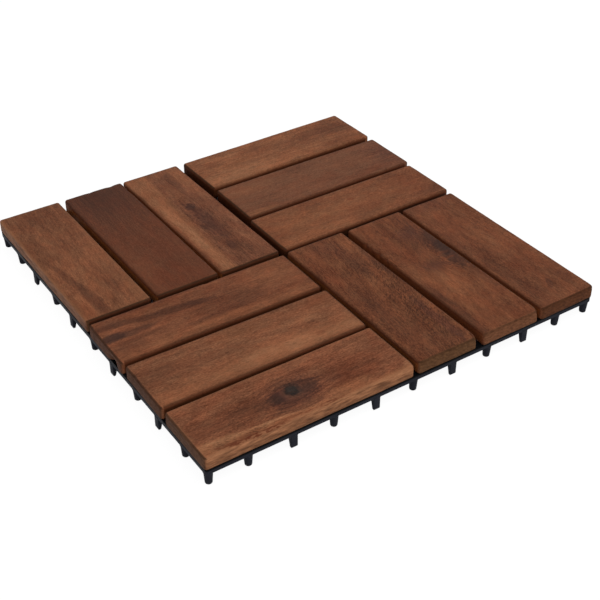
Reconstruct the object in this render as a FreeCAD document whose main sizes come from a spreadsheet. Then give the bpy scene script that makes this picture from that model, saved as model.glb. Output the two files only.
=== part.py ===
import FreeCAD, Part
import os
import Sketcher

# Interlocking deck tile: four quarters of three hardwood slats, each quarter turned
# against the next, screwed from below to one moulded lattice base on short feet.
# Millimetres, Z up, the origin on the ground under the middle foot.

QUARTERS = (
    ("front", 1, 0),
    ("right", 0, 1),
    ("back", -1, 0),
    ("left", 0, -1),
)

SLATS_PER_QUARTER = 3

# How each slat was laid: shift along X, shift along Y, turn about Z in degrees.
LAID = {
    "front_1": (0.0, 0.2, 0.0),
    "front_2": (0.0, -0.3, -0.6),
    "front_3": (-0.4, -0.3, -0.4),
    "left_1": (0.2, 0.2, 0.0),
    "left_2": (0.9, 0.0, 0.0),
    "left_3": (-1.0, -0.3, 0.3),
    "back_3": (0.0, -0.2, 0.3),
    "back_2": (1.6, -0.2, 0.4),
    "back_1": (1.0, 0.6, 0.9),
    "right_3": (-0.4, 0.3, 0.0),
    "right_2": (0.8, -0.2, 0.2),
    "right_1": (-0.3, -0.3, 0.3),
}

SIZES = (
    ("tile_pitch", 300.0),
    ("joint_gap", 0.8),
    ("slat_gap", 3.7),
    ("slats_per_quarter", SLATS_PER_QUARTER),
    ("slat_thick", 9.6),
    ("arris_radius", 1.6),
    ("corner_chamfer", 1.0),
    ("bottom_chamfer", 1.0),
    ("base_inset", 0.3),
    ("base_corner_radius", 1.5),
    ("deck_thick", 3.4),
    ("rim_width", 6.0),
    ("rib_width", 6.0),
    ("foot_pitch", 30.0),
    ("foot_height", 9.0),
    ("foot_top_across", 5.8),
    ("foot_tip_across", 4.6),
    ("tab_width", 4.2),
    ("tab_root", 3.9),
    ("tab_tip", 0.9),
    ("tab_clearance", 0.5),
    ("loop_wall", 2.0),
    ("loop_thick", 3.5),
    ("loop_drop", 1.0),
    ("screw_head_radius", 2.8),
    ("screw_head_thick", 1.8),
    ("screw_shank_radius", 1.6),
    ("screw_tip_radius", 0.8),
    ("screw_bite", 7.0),
    ("screw_clearance", 0.1),
    ("chip_radius", 11.4),
    ("chip_out", 4.9),
    ("chip_down", 6.5),
    ("chip_from_middle", 11.0),
)

DERIVED = (
    ("half_wood", "(tile_pitch - joint_gap) / 2"),
    ("slat_length", "half_wood - slat_gap / 2"),
    ("slat_width", "(slat_length - (slats_per_quarter - 1) * slat_gap) / slats_per_quarter"),
    ("slat_middle", "(half_wood + slat_gap / 2) / 2"),
    ("deck_top", "foot_height + deck_thick"),
    ("half_base", "half_wood - base_inset"),
    ("rim_line", "half_base - rim_width / 2"),
    ("rib_index", "floor((half_base - rim_width - rib_width / 2) / foot_pitch)"),
    ("even_index", "2 * floor(rib_index / 2)"),
    ("odd_index", "2 * floor((rib_index + 1) / 2) - 1"),
    ("loop_top", "foot_height - loop_drop"),
    ("loop_inner", "tile_pitch - half_base - tab_clearance / 2"),
    ("loop_outer", "loop_inner + tab_root + 2 * tab_clearance"),
    ("loop_half_window", "tab_width / 2 + tab_clearance"),
    ("screw_near_x", "(floor(slat_length / 4 / foot_pitch) + 0.5) * foot_pitch"),
    ("screw_far_x", "(floor(slat_length * 3 / 4 / foot_pitch) + 0.5) * foot_pitch"),
)


def main():
    doc = FreeCAD.newDocument("deck_tile")
    make_sizes(doc)
    pilots = make_pilots(doc)
    nodes = [make_base(doc, pilots), make_screws(doc)]
    for quarter, along_x, along_y in QUARTERS:
        for number in range(1, SLATS_PER_QUARTER + 1):
            nodes.append(make_slat(doc, quarter, number, along_x, along_y, pilots))
    doc.recompute()
    check(doc, nodes)
    os.makedirs("parts", exist_ok=True)
    for node in nodes:
        node.Shape.exportStep("parts/" + node.Label + ".step")


def make_sizes(doc):
    sheet = doc.addObject("Spreadsheet::Sheet", "sizes")
    row = 1
    for name, value in SIZES:
        sheet.set(f"A{row}", name)
        sheet.set(f"B{row}", f"{value}")
        sheet.setAlias(f"B{row}", name)
        row += 1
    for name, formula in DERIVED:
        sheet.set(f"A{row}", name)
        sheet.set(f"B{row}", f"={formula}")
        sheet.setAlias(f"B{row}", name)
        row += 1
    doc.recompute()


# Sketches and features

def origin_item(body, role):
    for item in body.Origin.OriginFeatures:
        if item.Role == role:
            return item
    raise ValueError("no origin item " + role)


def add_sketch(body, name, plane, offset):
    sketch = body.newObject("Sketcher::SketchObject", name)
    sketch.AttachmentSupport = [(origin_item(body, plane), "")]
    sketch.MapMode = "FlatFace"
    for axis, formula in zip("xyz", offset):
        sketch.setExpression("AttachmentOffset.Base." + axis, formula)
    return sketch


def add_outline(sketch, corners):
    """Closed outline of straight sides; every corner is held by two named distances."""
    first = sketch.GeometryCount
    places = []
    for corner in corners:
        places.append([float(sketch.evalExpression(formula)) for formula in corner])
    count = len(corners)
    for index in range(count):
        start = FreeCAD.Vector(*places[index], 0)
        end = FreeCAD.Vector(*places[(index + 1) % count], 0)
        sketch.addGeometry(Part.LineSegment(start, end), False)
    for index in range(count):
        joined = first + (index + 1) % count
        sketch.addConstraint(Sketcher.Constraint("Coincident", first + index, 2, joined, 1))
    for index, corner in enumerate(corners):
        for axis, formula, place in zip("XY", corner, places[index]):
            line = first + index
            distance = Sketcher.Constraint("Distance" + axis, -1, 1, line, 1, place)
            number = sketch.addConstraint(distance)
            name = f"corner{line}{axis.lower()}"
            sketch.renameConstraint(number, name)
            sketch.setExpression("Constraints." + name, formula)


def rectangle(half_x, half_y):
    return (
        (f"-({half_x})", f"-({half_y})"),
        (f"{half_x}", f"-({half_y})"),
        (f"{half_x}", f"{half_y}"),
        (f"-({half_x})", f"{half_y}"),
    )


def ring(radius, sides):
    corners = []
    for side in range(sides):
        angle = 360 / sides * (side + 0.5)
        corners.append((f"{radius} * cos({angle} deg)", f"{radius} * sin({angle} deg)"))
    return corners


def add_pad(body, sketch, name, length):
    pad = body.newObject("PartDesign::Pad", name)
    pad.Profile = sketch
    pad.setExpression("Length", length)
    return pad


def add_taper(body, name, place, low, high):
    """Eight-sided taper between two heights; low and high are each a height and a radius."""
    ends = []
    for end, (height, radius) in (("low", low), ("high", high)):
        sketch = add_sketch(body, f"{name}_{end}", "XY_Plane", (*place, height))
        add_outline(sketch, ring(radius, 8))
        ends.append(sketch)
    taper = body.newObject("PartDesign::AdditiveLoft", name)
    taper.Profile = ends[0]
    taper.Sections = ends[1:]
    return taper


def add_foot(body, name, x, y):
    tip = ("0 mm", "sizes.foot_tip_across / 2")
    top = ("sizes.foot_height", "sizes.foot_top_across / 2")
    return add_taper(body, name, (x, y), tip, top)


def add_row(body, name, axis, spacing, count):
    row = body.newObject("PartDesign::LinearPattern", name)
    row.Direction = (origin_item(body, axis), [""])
    row.Mode = "Spacing"
    row.setExpression("Offset", spacing)
    row.setExpression("Occurrences", count)
    return row


def add_turns(body, name, angle, count):
    turns = body.newObject("PartDesign::PolarPattern", name)
    turns.Axis = (origin_item(body, "Z_Axis"), [""])
    turns.Mode = "Spacing"
    turns.Offset = angle
    turns.Occurrences = count
    return turns


def repeat(body, features, name, patterns):
    """Copies of the features through one pattern, or through several in turn."""
    if len(patterns) == 1:
        patterns[0].Originals = features
        body.Tip = patterns[0]
        return
    many = body.newObject("PartDesign::MultiTransform", name)
    many.Originals = features
    many.Transformations = patterns
    body.Tip = many


# The moulded base: rim, crossing ribs, feet, loops and tabs, drilled for the screws

def make_base(doc, pilots):
    grid = doc.addObject("PartDesign::Body", "grid_body")
    add_rim(doc, grid)
    add_ribs(grid)
    under = doc.addObject("PartDesign::Body", "under_body")
    add_feet(under)
    add_loops(under)
    add_tabs(under)
    doc.recompute()
    drilled = doc.addObject("Part::Cut", "drilled_grid")
    drilled.Base = grid
    drilled.Tool = pilots
    drilled.Refine = False
    base = doc.addObject("Part::MultiFuse", "moulded")
    base.Label = "base_grid"
    base.Shapes = [drilled, under]
    return base


def add_rim(doc, body):
    sketch = add_sketch(body, "rim_sketch", "XY_Plane", ("0 mm", "0 mm", "sizes.foot_height"))
    add_outline(sketch, rectangle("sizes.half_base", "sizes.half_base"))
    inside = "sizes.half_base - sizes.rim_width"
    add_outline(sketch, rectangle(inside, inside))
    rim = add_pad(body, sketch, "rim", "sizes.deck_thick")
    doc.recompute()
    reach = doc.sizes.half_base
    corners = []
    for index, edge in enumerate(rim.Shape.Edges):
        middle = edge.CenterOfMass
        if abs(abs(middle.x) - reach) < 0.01 and abs(abs(middle.y) - reach) < 0.01:
            corners.append(f"Edge{index + 1}")
    rounding = body.newObject("PartDesign::Fillet", "rim_corners")
    rounding.Base = (rim, corners)
    rounding.setExpression("Radius", "sizes.base_corner_radius")
    body.Tip = rounding


def add_ribs(body):
    start = "-sizes.rib_index * sizes.foot_pitch"
    count = "2 * sizes.rib_index + 1"
    along = rectangle("sizes.rim_line", "sizes.rib_width / 2")
    across = rectangle("sizes.rib_width / 2", "sizes.rim_line")
    for name, corners, offset, axis in (
        ("rib_along_x", along, ("0 mm", start), "Y_Axis"),
        ("rib_along_y", across, (start, "0 mm"), "X_Axis"),
    ):
        sketch = add_sketch(body, name + "_sketch", "XY_Plane", (*offset, "sizes.foot_height"))
        add_outline(sketch, corners)
        rib = add_pad(body, sketch, name, "sizes.deck_thick")
        row = add_row(body, name + "_row", axis, "sizes.foot_pitch", count)
        repeat(body, [rib], name + "_all", [row])


def add_feet(body):
    step = "2 * sizes.foot_pitch"
    even_start = "-sizes.even_index * sizes.foot_pitch"
    even_count = "sizes.even_index + 1"
    odd_start = "-sizes.odd_index * sizes.foot_pitch"
    odd_count = "sizes.odd_index + 1"
    edge = "sizes.rim_line"

    inner = add_foot(body, "inner_foot", even_start, even_start)
    row = add_row(body, "inner_feet_row", "X_Axis", step, even_count)
    rows = add_row(body, "inner_feet_rows", "Y_Axis", step, even_count)
    repeat(body, [inner], "inner_feet", [row, rows])

    corner = add_foot(body, "corner_foot", "-" + edge, "-" + edge)
    repeat(body, [corner], "corner_feet_all", [add_turns(body, "corner_feet", 90, 4)])

    side = add_foot(body, "side_foot", even_start, "-" + edge)
    row = add_row(body, "side_feet", "X_Axis", step, even_count)
    turns = add_turns(body, "side_feet_turned", 90, 4)
    repeat(body, [side], "side_feet_all", [row, turns])

    loop_foot = add_foot(body, "loop_foot", edge, odd_start)
    row = add_row(body, "loop_feet", "Y_Axis", step, odd_count)
    turns = add_turns(body, "loop_feet_turned", 90, 2)
    repeat(body, [loop_foot], "loop_feet_all", [row, turns])


def add_tabs(body):
    """Wedges with an upright outer face, on the two sides that drop into loops."""
    start = "-sizes.odd_index * sizes.foot_pitch"
    outer = "-sizes.half_base"
    sketch = add_sketch(body, "tab_sketch", "XZ_Plane", ("0 mm", "0 mm", f"{start} * -1"))
    add_outline(sketch, (
        (outer, "0 mm"),
        (f"{outer} + sizes.tab_tip", "0 mm"),
        (f"{outer} + sizes.tab_root", "sizes.foot_height"),
        (outer, "sizes.foot_height"),
    ))
    tab = add_pad(body, sketch, "tab", "sizes.tab_width")
    tab.Midplane = True
    row = add_row(body, "tabs", "Y_Axis", "2 * sizes.foot_pitch", "sizes.odd_index + 1")
    turns = add_turns(body, "tabs_turned", 90, 2)
    repeat(body, [tab], "tabs_all", [row, turns])


def add_loops(body):
    """Flat tongues with a window that takes the next tile's tab."""
    half_window = "sizes.loop_half_window"
    half_tongue = f"({half_window} + sizes.loop_wall)"
    tongue_end = "(sizes.loop_outer + sizes.loop_wall)"
    start = "-sizes.odd_index * sizes.foot_pitch"
    low = "sizes.loop_top - sizes.loop_thick"
    sketch = add_sketch(body, "loop_sketch", "XY_Plane", ("0 mm", start, low))
    add_outline(sketch, (
        ("sizes.rim_line", f"-{half_tongue}"),
        ("sizes.loop_outer", f"-{half_tongue}"),
        (tongue_end, f"-{half_window}"),
        (tongue_end, half_window),
        ("sizes.loop_outer", half_tongue),
        ("sizes.rim_line", half_tongue),
    ))
    add_outline(sketch, (
        ("sizes.loop_inner", f"-{half_window}"),
        ("sizes.loop_outer", f"-{half_window}"),
        ("sizes.loop_outer", half_window),
        ("sizes.loop_inner", half_window),
    ))
    loop = add_pad(body, sketch, "loop", "sizes.loop_thick")
    row = add_row(body, "loops", "Y_Axis", "2 * sizes.foot_pitch", "sizes.odd_index + 1")
    turns = add_turns(body, "loops_turned", 90, 2)
    repeat(body, [loop], "loops_all", [row, turns])


# Screws: one pair under each slat of the front quarter, turned to the other quarters

def slat_line(number):
    """Distance from the tile's middle to the middle line of a slat, 1 being the outermost."""
    return f"(sizes.half_wood - sizes.slat_width / 2 - {number - 1} * (sizes.slat_width + sizes.slat_gap))"


def screw_place(number):
    """On the rib that is nearest to the slat's middle line, between two crossings."""
    return "-sizes.screw_far_x", f"-round({slat_line(number)} / sizes.foot_pitch) * sizes.foot_pitch"


def repeat_screw(body, features, name):
    pair = add_row(body, name + "_pair", "X_Axis", "sizes.screw_far_x - sizes.screw_near_x", "2")
    turns = add_turns(body, name + "_turned", 90, 4)
    repeat(body, features, name + "_all", [pair, turns])


def make_screws(doc):
    body = doc.addObject("PartDesign::Body", "screws_body")
    body.Label = "screws"
    head_low = "sizes.foot_height - sizes.screw_head_thick"
    low = ("sizes.foot_height", "sizes.screw_shank_radius")
    high = ("sizes.deck_top + sizes.screw_bite", "sizes.screw_tip_radius")
    for number in range(1, SLATS_PER_QUARTER + 1):
        name = f"screw_{number}"
        place = screw_place(number)
        sketch = add_sketch(body, name + "_head_sketch", "XY_Plane", (*place, head_low))
        add_outline(sketch, ring("sizes.screw_head_radius", 12))
        head = add_pad(body, sketch, name + "_head", "sizes.screw_head_thick")
        shank = add_taper(body, name + "_shank", place, low, high)
        repeat_screw(body, [head, shank], name)
    doc.recompute()
    return body


def make_pilots(doc):
    """What the screws' shanks take out of the base and the slats, with a little room."""
    body = doc.addObject("PartDesign::Body", "pilot_holes")
    room = "sizes.screw_clearance"
    low = (f"sizes.foot_height - {room}", f"(sizes.screw_shank_radius + {room})")
    high = (f"sizes.deck_top + sizes.screw_bite + {room}", f"(sizes.screw_tip_radius + {room})")
    for number in range(1, SLATS_PER_QUARTER + 1):
        name = f"pilot_{number}"
        shank = add_taper(body, name, screw_place(number), low, high)
        repeat_screw(body, [shank], name)
    doc.recompute()
    return body


# Slats

def make_slat(doc, quarter, number, along_x, along_y, pilots):
    """One hardwood slat, eased on top and at the ends, laid on the base."""
    name = f"{quarter}_{number}"
    shift_x, shift_y, turn = LAID[name]
    body = doc.addObject("PartDesign::Body", name + "_blank")
    sketch = add_sketch(body, name + "_sketch", "XY_Plane", ("0 mm", "0 mm", "0 mm"))
    add_outline(sketch, rectangle("sizes.slat_length / 2", "sizes.slat_width / 2"))
    blank = add_pad(body, sketch, name + "_pad", "sizes.slat_thick")
    doc.recompute()

    upright = []
    for index, edge in enumerate(blank.Shape.Edges):
        if edge.BoundBox.ZLength > 0.01:
            upright.append(f"Edge{index + 1}")
    corners = body.newObject("PartDesign::Chamfer", name + "_corners")
    corners.Base = (blank, upright)
    corners.setExpression("Size", "sizes.corner_chamfer")
    doc.recompute()

    top = []
    for index, edge in enumerate(corners.Shape.Edges):
        if edge.BoundBox.ZMin > doc.sizes.slat_thick - 0.01:
            top.append(f"Edge{index + 1}")
    arris = body.newObject("PartDesign::Fillet", name + "_arris")
    arris.Base = (corners, top)
    arris.setExpression("Radius", "sizes.arris_radius")
    doc.recompute()

    bottom = []
    for index, edge in enumerate(arris.Shape.Edges):
        if edge.BoundBox.ZMax < 0.01:
            bottom.append(f"Edge{index + 1}")
    chamfer = body.newObject("PartDesign::Chamfer", name + "_chamfer")
    chamfer.Base = (arris, bottom)
    chamfer.setExpression("Size", "sizes.bottom_chamfer")
    body.Tip = chamfer

    middle = "sizes.slat_middle"
    line = slat_line(number)
    place_x = f"{-along_x} * {middle} + {along_y} * {line} + {shift_x}"
    place_y = f"{-along_y} * {middle} - {along_x} * {line} + {shift_y}"
    body.setExpression("Placement.Base.x", place_x)
    body.setExpression("Placement.Base.y", place_y)
    body.setExpression("Placement.Base.z", "sizes.deck_top")
    heading = FreeCAD.Vector(along_x, along_y, 0)
    body.Placement.Rotation = FreeCAD.Rotation(FreeCAD.Vector(1, 0, 0), heading)
    body.Placement.Rotation *= FreeCAD.Rotation(FreeCAD.Vector(0, 0, 1), turn)

    taken = [pilots]
    if name == "front_3":
        taken.append(make_chip(doc, body))
    tool = doc.addObject("Part::Compound", name + "_taken")
    tool.Links = taken
    slat = doc.addObject("Part::Cut", name + "_slat")
    slat.Label = "slat_" + name
    slat.Base = body
    slat.Tool = tool
    return slat


def make_chip(doc, body):
    """Splinter missing from the lower edge of a slat's outer end."""
    chip = doc.addObject("Part::Sphere", "chip")
    chip.setExpression("Radius", "sizes.chip_radius")
    place = body.Name + ".Placement.Base"
    end = f"{place}.x - (sizes.slat_length / 2 + sizes.chip_out) * 1 mm"
    chip.setExpression("Placement.Base.x", end)
    chip.setExpression("Placement.Base.y", f"{place}.y - sizes.chip_from_middle * 1 mm")
    chip.setExpression("Placement.Base.z", f"{place}.z - sizes.chip_down * 1 mm")
    return chip


def check(doc, nodes):
    for item in doc.Objects:
        if "Invalid" in item.State or "Error" in item.State:
            raise RuntimeError("not computed: " + item.Name)
    for node in nodes:
        if node.Shape.isNull() or not node.Shape.isValid() or not node.Shape.Solids:
            raise RuntimeError("bad shape: " + node.Label)


main()
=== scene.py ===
import math

import bpy
import numpy as np
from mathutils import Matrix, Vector


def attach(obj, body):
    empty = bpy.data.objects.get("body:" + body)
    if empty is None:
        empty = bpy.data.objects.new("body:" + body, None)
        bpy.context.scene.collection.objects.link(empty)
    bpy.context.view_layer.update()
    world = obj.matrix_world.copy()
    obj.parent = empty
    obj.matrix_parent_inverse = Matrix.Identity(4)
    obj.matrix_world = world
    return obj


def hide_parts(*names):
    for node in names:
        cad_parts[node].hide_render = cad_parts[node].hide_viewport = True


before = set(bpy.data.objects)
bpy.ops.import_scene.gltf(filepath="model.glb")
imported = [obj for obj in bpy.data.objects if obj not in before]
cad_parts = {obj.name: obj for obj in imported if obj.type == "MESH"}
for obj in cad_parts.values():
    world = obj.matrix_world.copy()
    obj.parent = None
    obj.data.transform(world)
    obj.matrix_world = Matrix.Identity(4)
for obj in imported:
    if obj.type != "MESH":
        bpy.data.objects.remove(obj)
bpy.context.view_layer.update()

millimetre = 0.001


# Mesh helpers: whole arrays of points in millimetres, put into a mesh at the origin

def bandFaces(rows, columns):
    # quads of a grid whose columns close on themselves, rows going up and columns anticlockwise
    row, column = np.meshgrid(np.arange(rows - 1), np.arange(columns), indexing="ij")
    right = (column + 1) % columns
    quads = [row * columns + column, row * columns + right,
             (row + 1) * columns + right, (row + 1) * columns + column]
    return np.stack(quads, axis=-1).reshape(-1, 4)


def capFaces(columns, first, up, endSteps):
    # the last ring of an even number of points, closed by a strip between the points i and n - i,
    # and by one face over the points of either end
    half = columns // 2
    i = np.arange(endSteps, half - endSteps)
    strip = np.stack([i, i + 1, columns - i - 1, columns - i], axis=-1)
    tail = np.arange(-endSteps, endSteps + 1)
    ends = np.array([tail % columns, tail + half])
    if not up:
        strip, ends = strip[:, ::-1], ends[:, ::-1]
    return (strip + first).tolist() + (ends + first).tolist()


def stackFaces(rows, columns, endSteps=1):
    # a closed skin: the band between the rings and a cap at either end
    return (bandFaces(rows, columns).tolist() + capFaces(columns, 0, False, endSteps)
            + capFaces(columns, (rows - 1) * columns, True, endSteps))


def joined(parts):
    # several skins, each its points and its faces, as one
    points, faces, count = [], [], 0
    for own, ownFaces in parts:
        points.append(own.reshape(-1, 3))
        faces += [[i + count for i in face] for face in ownFaces]
        count += len(points[-1])
    return np.concatenate(points), faces


def spun(points, turn, place):
    # turned about the upright axis, then moved to its place
    x, y, z = np.moveaxis(points, -1, 0)
    c, s = math.cos(turn), math.sin(turn)
    return np.stack([x * c - y * s, x * s + y * c, z], axis=-1) + place


def ringStack(radii, heights, segments):
    # rings round the upright axis, one for each radius and height
    turn = np.arange(segments) * 2 * math.pi / segments
    return np.stack([np.outer(radii, np.cos(turn)), np.outer(radii, np.sin(turn)),
                     np.repeat(np.array(heights)[:, None], segments, axis=1)], axis=-1)


def newObject(name, data):
    made = bpy.data.objects.new(name, data)
    bpy.context.scene.collection.objects.link(made)
    return made


def makePiece(name, points, faces, material, slotName, nodes):
    # a closed mesh put in place of the named nodes, smooth all over
    mesh = bpy.data.meshes.new(name)
    mesh.from_pydata((points.reshape(-1, 3) * millimetre).tolist(), [], faces)
    mesh.polygons.foreach_set("use_smooth", np.ones(len(mesh.polygons), bool))
    mesh.materials.append(material)
    mesh.validate()
    piece = newObject(name, mesh)
    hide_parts(*nodes)
    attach(piece, "root")
    return piece


def addReading(piece, name, values):
    # one number for each point of the mesh, which the material reads by its name
    layer = piece.data.attributes.new(name, "FLOAT", "POINT")
    layer.data.foreach_set("value", values.reshape(-1).astype(np.float32))


# Node helpers

def linear(colour):
    # a colour given from 0 to 255 as a screen shows it, made linear for the shader
    c = np.asarray(colour, float) / 255.0
    return tuple(np.where(c <= 0.04045, c / 12.92, ((c + 0.055) / 1.055) ** 2.4)) + (1.0,)


def addNode(kind, inputs=None, tree=None, **settings):
    # a node with its settings and inputs, in the given tree or else in that of its linked inputs
    inputs = inputs or {}
    linked = [value for value in inputs.values() if isinstance(value, bpy.types.NodeSocket)]
    tree = tree or linked[0].id_data
    node = tree.nodes.new(kind)
    for name, value in settings.items():
        setattr(node, name, value)
    for key, value in inputs.items():
        if isinstance(value, bpy.types.NodeSocket):
            tree.links.new(value, node.inputs[key])
        else:
            node.inputs[key].default_value = value
    return node


def calc(operation, *values, clamp=False):
    inputs = {i: value for i, value in enumerate(values)}
    return addNode("ShaderNodeMath", inputs, operation=operation, use_clamp=clamp).outputs[0]


def vectorCalc(operation, *values):
    inputs = {i: value for i, value in enumerate(values)}
    return addNode("ShaderNodeVectorMath", inputs, operation=operation).outputs[0]


def mixColour(factor, under, over, blend="MIX"):
    inputs = {0: factor, 6: under, 7: over}
    return addNode("ShaderNodeMix", inputs, data_type="RGBA", blend_type=blend,
                   clamp_factor=True).outputs[2]


def rescale(value, low, high, toLow, toHigh, soft=True):
    inputs = {"Value": value, "From Min": low, "From Max": high, "To Min": toLow, "To Max": toHigh}
    kind = "SMOOTHSTEP" if soft else "LINEAR"
    return addNode("ShaderNodeMapRange", inputs, interpolation_type=kind).outputs[0]


def placed(vector, place=(0, 0, 0), turn=0.0, size=(1, 1, 1)):
    # coordinates centred on a place, turned with it and measured in its own size
    inputs = {"Vector": vector, "Location": place, "Rotation": (0, 0, math.radians(turn)), "Scale": size}
    return addNode("ShaderNodeMapping", inputs, vector_type="TEXTURE").outputs[0]


def noise(vector, size, detail=2.0, rough=0.5, seed=0.0, output=0):
    # cloudy noise whose lumps are about as long as size along each direction
    moved = placed(vector, place=(seed * 37.1, seed * 17.3, seed * 5.9), size=size)
    inputs = {"Vector": moved, "Scale": 1.0, "Detail": detail, "Roughness": rough}
    return addNode("ShaderNodeTexNoise", inputs).outputs[output]


def scaled(vector, factor):
    inputs = {0: vector, "Scale": factor}
    return addNode("ShaderNodeVectorMath", inputs, operation="SCALE").outputs[0]


def lengthOf(vector):
    return addNode("ShaderNodeVectorMath", {0: vector}, operation="LENGTH").outputs["Value"]


def apart(vector):
    # the three parts of a vector
    return addNode("ShaderNodeSeparateXYZ", {0: vector}).outputs


def bumped(height, strength, depth):
    inputs = {"Strength": strength, "Distance": depth, "Height": height}
    return addNode("ShaderNodeBump", inputs).outputs[0]


def emptyTree(owner):
    owner.use_nodes = True
    owner.node_tree.nodes.clear()
    return owner.node_tree


def newMaterial(name):
    material = bpy.data.materials.new(name)
    tree = emptyTree(material)
    shader = addNode("ShaderNodeBsdfPrincipled", tree=tree)
    addNode("ShaderNodeOutputMaterial", {"Surface": shader.outputs[0]})
    place = addNode("ShaderNodeTexCoord", tree=tree).outputs["Object"]
    return material, shader, place


def setShader(shader, **sockets):
    names = {"colour": "Base Color", "rough": "Roughness", "metal": "Metallic",
             "specular": "Specular IOR Level", "normal": "Normal"}
    for key, value in sockets.items():
        socket = shader.inputs[names[key]]
        if isinstance(value, bpy.types.NodeSocket):
            shader.id_data.links.new(value, socket)
        else:
            socket.default_value = value


# Oiled hardwood: tones as a screen shows them, the noises of the grain and how the surface is finished.
# A noise has the length of its lumps along, across and down in millimetres, its detail, its roughness
# and its step in seed.

# some tones are painted light and shade rather than the wood's colour: the pale glint at the knot's eye,
# the lit and the dark tones of the walls between the slats, and the dark line at the slat's foot
tones = {
    "eye": (42, 34, 31), "glint": (78, 68, 61), "knot": (56, 38, 33), "smoke": (68, 43, 34),
    "plum": (82, 49, 41), "cocoa": (82, 49, 35), "rust": (108, 57, 37), "russet": (98, 48, 30),
    "ember": (124, 80, 60), "amber": (138, 86, 58), "honey": (146, 94, 64), "straw": (160, 110, 78),
    "endGrain": (84, 60, 42), "shadowLine": (26, 18, 14), "seam": (52, 30, 18), "wallShading": (64, 33, 14),
    "deep": (38, 22, 13), "litWall": (150, 86, 42), "pore": (56, 32, 22),
}

woodNoises = {
    "sway": ((90, 45, 45), 1.0, 0.5, 0.0), "broad": ((46, 15, 15), 1.0, 0.5, 0.3),
    "cloud": ((13, 4.5, 5), 2.0, 0.5, 0.45), "streak": ((17, 1.3, 1.3), 3.0, 0.6, 0.6),
    "fibre": ((5, 0.5, 0.5), 2.0, 0.6, 0.9), "fleck": ((1.6, 0.9, 0.9), 2.0, 0.7, 1.1),
    "ringBend": ((60, 9, 9), 2.0, 0.5, 1.4), "ripple": ((11, 2.6, 9), 2.0, 0.55, 2.0),
    "drift": ((14, 8, 14), 2.0, 0.5, 3.0), "hue": ((13, 7, 7), 3.0, 0.55, 3.5),
    "pore": ((5.5, 0.3, 0.3), 1.0, 0.5, 4.0), "dash": ((3.2, 0.8, 0.5), 2.0, 0.6, 5.0),
    "mottle": ((9, 2.4, 2.0), 3.0, 0.6, 6.0), "reddish": ((9, 2, 0.9), 2.0, 0.6, 6.2),
    "pepper": ((30, 2.8, 1.5), 3.0, 0.7, 6.4), "wear": ((11, 11, 3), 3.0, 0.6, 7.0),
    "broken": ((3.4, 1.0, 2.0), 2.0, 0.6, 8.0),
}
figureWeights = {"broad": 0.5, "cloud": 0.5, "streak": 0.35, "fibre": 0.72, "fleck": 1.0}
largeFigures = ("broad", "cloud", "streak")

# lengths in millimetres; a level is a height against the slat's top
woodFinish = {
    "swayReach": (0, 6, 6), "driftReach": (6, 2.5, 0), "raggedStreak": 0.9, "raggedFleck": 0.6,
    "heart": (0, 14, -46), "ringBend": 9.0, "ringTurns": 2.4, "ringWeight": 0.07, "rippleWeight": 3.0,
    "darkest": (0.5, 0.44, 0.42), "lightest": (1.62, 1.66, 1.6), "relief": (0.62, 1.38),
    "redder": (1.04, 0.98, 0.95, 1.0), "greener": (0.97, 1.01, 1.01, 1.0), "poreShare": 0.5,
    "dashTurn": -30, "mottle": (0.4, 1.55), "sideShade": (-8.4, -2.0, 0.72, 1.1), "sideFlecks": 0.6,
    "endRings": 0.6, "ringShade": 0.62, "pepper": (0.6, 1.42), "inside": (147.2, 148.2),
    "worn": 0.15, "endArris": 0.65, "markDepth": 2.4, "seam": 0.32,
    # painted shade: the warm and the dark bands on the walls between the slats, their tone and its tone at
    # the ends, and the dark line at the foot
    "wallWarm": (-1.6, -0.3, 0.65), "wallDark": (-3.1, -1.3), "wallShading": ("wallShading", 0.72),
    "wallShadingEnd": "deep", "foot": (0.3, 1.3, 0.85),
    "rough": 0.42, "fibreRough": 0.22, "endRough": 0.14, "specular": 0.035,
    "poreDepth": -1.1, "bumpStrength": 0.5, "bumpDepth": 0.00012,
}
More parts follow.
